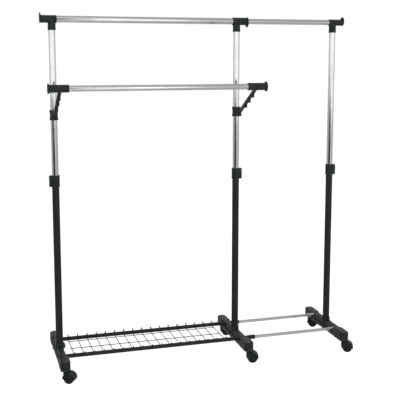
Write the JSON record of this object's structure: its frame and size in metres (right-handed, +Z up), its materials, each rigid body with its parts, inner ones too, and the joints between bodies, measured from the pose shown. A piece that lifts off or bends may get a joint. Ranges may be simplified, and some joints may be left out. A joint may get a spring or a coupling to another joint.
{
  "type": "rolling clothes rack",
  "caption": "Rolling double-rail clothes rack with telescoping uprights, a bay that pulls out sideways, a wire shelf and swivel casters.",
  "frame": {"origin": "on the floor, under the centre of the whole rack with its bay pulled out", "axes": "+X along the rails towards the bay that pulls out, -Y towards the front with the lower rail, +Z up"},
  "size_m": [1.25, 0.4314, 1.3892],
  "materials": {
    "moulded_black": "black moulded plastic, low sheen",
    "lever_black": "darker black moulded plastic, fine texture",
    "powder_black": "black powder coat on steel tube, satin",
    "coated_wire": "dark grey powder coat on steel wire",
    "chrome": "bright chrome plate on steel tube",
    "zinc_steel": "zinc-plated steel",
    "bush_white": "natural white nylon",
    "wheel_black": "black nylon wheel, worn satin tread"
  },
  "bodies": {
    "base_frame": {"left_foot": "moulded_black", "middle_foot": "moulded_black", "left_lower_upright": "powder_black", "middle_lower_upright": "powder_black", "left_height_collar": "moulded_black", "middle_height_collar": "moulded_black", "left_and_middle_lever_pins": "zinc_steel", "front_shelf_tube": "powder_black", "rear_shelf_tube": "powder_black", "shelf_wire_grid": "coated_wire", "shelf_rod_bushes": "moulded_black"},
    "right_base": {"right_foot": "moulded_black", "right_lower_upright": "powder_black", "right_height_collar": "moulded_black", "right_lever_pin": "zinc_steel", "front_shelf_rod": "chrome", "rear_shelf_rod": "chrome"},
    "upper_frame": {"left_upper_upright": "chrome", "middle_upper_upright": "chrome", "left_and_middle_guide_bushes": "bush_white", "left_top_tee": "moulded_black", "middle_top_tee": "moulded_black", "main_top_rail": "chrome"},
    "upper_extension": {"right_upper_upright": "chrome", "right_guide_bush": "bush_white", "right_top_tee": "moulded_black", "sliding_top_rail": "chrome", "sliding_rail_bush": "bush_white"},
    "lower_rail_carrier": {"left_rail_bracket": "moulded_black", "middle_rail_bracket": "moulded_black", "lower_rail": "chrome", "bracket_clamp_screws": "zinc_steel"},
    "left_lever": {"left_lock_lever": "lever_black"},
    "middle_lever": {"middle_lock_lever": "lever_black"},
    "right_lever": {"right_lock_lever": "lever_black"},
    "left_front_caster": {"left_front_caster_housing": "moulded_black", "left_front_caster_stem": "zinc_steel"},
    "left_front_caster_roller": {"left_front_caster_wheels": "wheel_black", "left_front_caster_axle": "zinc_steel"},
    "left_rear_caster": {"left_rear_caster_housing": "moulded_black", "left_rear_caster_stem": "zinc_steel"},
    "left_rear_caster_roller": {"left_rear_caster_wheels": "wheel_black", "left_rear_caster_axle": "zinc_steel"},
    "middle_front_caster": {"middle_front_caster_housing": "moulded_black", "middle_front_caster_stem": "zinc_steel"},
    "middle_front_caster_roller": {"middle_front_caster_wheels": "wheel_black", "middle_front_caster_axle": "zinc_steel"},
    "middle_rear_caster": {"middle_rear_caster_housing": "moulded_black", "middle_rear_caster_stem": "zinc_steel"},
    "middle_rear_caster_roller": {"middle_rear_caster_wheels": "wheel_black", "middle_rear_caster_axle": "zinc_steel"},
    "right_front_caster": {"right_front_caster_housing": "moulded_black", "right_front_caster_stem": "zinc_steel"},
    "right_front_caster_roller": {"right_front_caster_wheels": "wheel_black", "right_front_caster_axle": "zinc_steel"},
    "right_rear_caster": {"right_rear_caster_housing": "moulded_black", "right_rear_caster_stem": "zinc_steel"},
    "right_rear_caster_roller": {"right_rear_caster_wheels": "wheel_black", "right_rear_caster_axle": "zinc_steel"}
  },
  "joints": [
    {"name": "extension_slide", "type": "slide", "parent": "base_frame", "child": "right_base", "axis": [1, 0, 0], "range_m": [-0.333, 0]},
    {"name": "height_slide", "type": "slide", "parent": "base_frame", "child": "upper_frame", "axis": [0, 0, 1], "range_m": [-0.13, 0.08]},
    {"name": "top_rail_slide", "type": "slide", "parent": "upper_frame", "child": "upper_extension", "axis": [1, 0, 0], "range_m": [-0.333, 0]},
    {"name": "lower_rail_slide", "type": "slide", "parent": "upper_frame", "child": "lower_rail_carrier", "axis": [0, 0, 1], "range_m": [-0.07, 0.25]},
    {"name": "left_lever_flip", "type": "hinge", "parent": "base_frame", "child": "left_lever", "pos_m": [-0.6, 0.0237, 0.761], "axis": [0, 1, 0], "range_deg": [0, 110]},
    {"name": "middle_lever_flip", "type": "hinge", "parent": "base_frame", "child": "middle_lever", "pos_m": [0.177, 0.0237, 0.761], "axis": [0, -1, 0], "range_deg": [0, 110]},
    {"name": "right_lever_flip", "type": "hinge", "parent": "right_base", "child": "right_lever", "pos_m": [0.6, 0.0237, 0.761], "axis": [0, -1, 0], "range_deg": [0, 110]},
    {"name": "left_front_caster_swivel", "type": "hinge", "parent": "base_frame", "child": "left_front_caster", "pos_m": [-0.58, -0.1463, 0.048], "axis": [0, 0, 1], "continuous": true},
    {"name": "left_front_caster_roll", "type": "hinge", "parent": "left_front_caster", "child": "left_front_caster_roller", "pos_m": [-0.56543, -0.15506, 0.02], "axis": [0.515, 0.8572, 0], "continuous": true},
    {"name": "left_rear_caster_swivel", "type": "hinge", "parent": "base_frame", "child": "left_rear_caster", "pos_m": [-0.58, 0.1937, 0.048], "axis": [0, 0, 1], "continuous": true},
    {"name": "left_rear_caster_roll", "type": "hinge", "parent": "left_rear_caster", "child": "left_rear_caster_roller", "pos_m": [-0.56424, 0.18733, 0.02], "axis": [0.3746, 0.9272, 0], "continuous": true},
    {"name": "middle_front_caster_swivel", "type": "hinge", "parent": "base_frame", "child": "middle_front_caster", "pos_m": [0.157, -0.1463, 0.048], "axis": [0, 0, 1], "continuous": true},
    {"name": "middle_front_caster_roll", "type": "hinge", "parent": "middle_front_caster", "child": "middle_front_caster_roller", "pos_m": [0.17307, -0.15183, 0.02], "axis": [0.3256, 0.9455, 0], "continuous": true},
    {"name": "middle_rear_caster_swivel", "type": "hinge", "parent": "base_frame", "child": "middle_rear_caster", "pos_m": [0.157, 0.1937, 0.048], "axis": [0, 0, 1], "continuous": true},
    {"name": "middle_rear_caster_roll", "type": "hinge", "parent": "middle_rear_caster", "child": "middle_rear_caster_roller", "pos_m": [0.17374, 0.19075, 0.02], "axis": [0.1736, 0.9848, 0], "continuous": true},
    {"name": "right_front_caster_swivel", "type": "hinge", "parent": "right_base", "child": "right_front_caster", "pos_m": [0.58, -0.1463, 0.048], "axis": [0, 0, 1], "continuous": true},
    {"name": "right_front_caster_roll", "type": "hinge", "parent": "right_front_caster", "child": "right_front_caster_roller", "pos_m": [0.59528, -0.15375, 0.02], "axis": [0.4384, 0.8988, 0], "continuous": true},
    {"name": "right_rear_caster_swivel", "type": "hinge", "parent": "right_base", "child": "right_rear_caster", "pos_m": [0.58, 0.1937, 0.048], "axis": [0, 0, 1], "continuous": true},
    {"name": "right_rear_caster_roll", "type": "hinge", "parent": "right_rear_caster", "child": "right_rear_caster_roller", "pos_m": [0.59302, 0.18277, 0.02], "axis": [0.6428, 0.766, 0], "continuous": true}
  ],
  "couplings": [
    {"joint": "top_rail_slide", "follows": "extension_slide", "ratio": 1}
  ]
}
